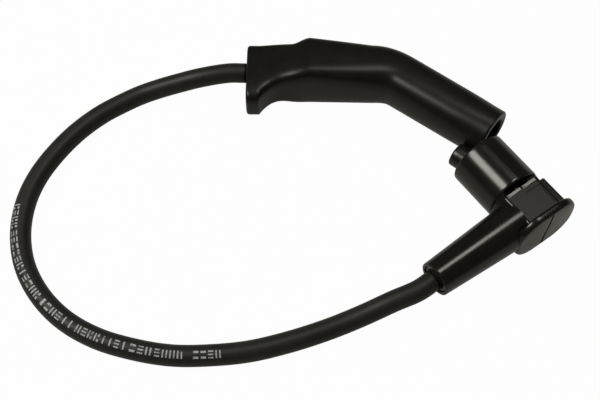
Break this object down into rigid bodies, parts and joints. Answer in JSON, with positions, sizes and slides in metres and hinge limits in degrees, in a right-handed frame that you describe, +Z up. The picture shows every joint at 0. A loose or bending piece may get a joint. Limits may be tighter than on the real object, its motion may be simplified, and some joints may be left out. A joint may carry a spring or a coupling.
{
  "type": "spark_plug_wire",
  "caption": "Black silicone ignition lead in an open loop, with an angled rubber spark plug boot and a right-angled hard plastic connector",
  "frame": {"origin": "Under the middle of the box round the boot and the connector, without the loose cable, on the plane that the part lies on.", "axes": "+X points out of the boot's mouth along its front arm. +Z points up from the plane that the part lies on. +Y completes the right-handed frame."},
  "size_m": [0.1606, 0.1505, 0.022],
  "materials": {
    "cable_jacket": "satin",
    "boot_rubber": "matte",
    "connector_plastic": "gloss",
    "nozzle_rubber": "satin",
    "seal_rubber": "matte",
    "terminal": "satin",
    "spring_wire": "satin",
    "contact": "satin",
    "conductor": "satin"
  },
  "bodies": {
    "root": {"ignition_cable": "cable_jacket", "plug_boot": "boot_rubber", "elbow_shell": "connector_plastic", "elbow_nozzle": "nozzle_rubber", "plug_cable_end": "cable_jacket", "plug_cable_core": "conductor", "plug_terminal": "terminal", "plug_terminal_clip": "spring_wire", "elbow_contact": "contact", "elbow_crimp_terminal": "terminal", "elbow_cable_end": "cable_jacket", "elbow_cable_core": "conductor", "cable_seal": "seal_rubber"}
  },
  "joints": []
}
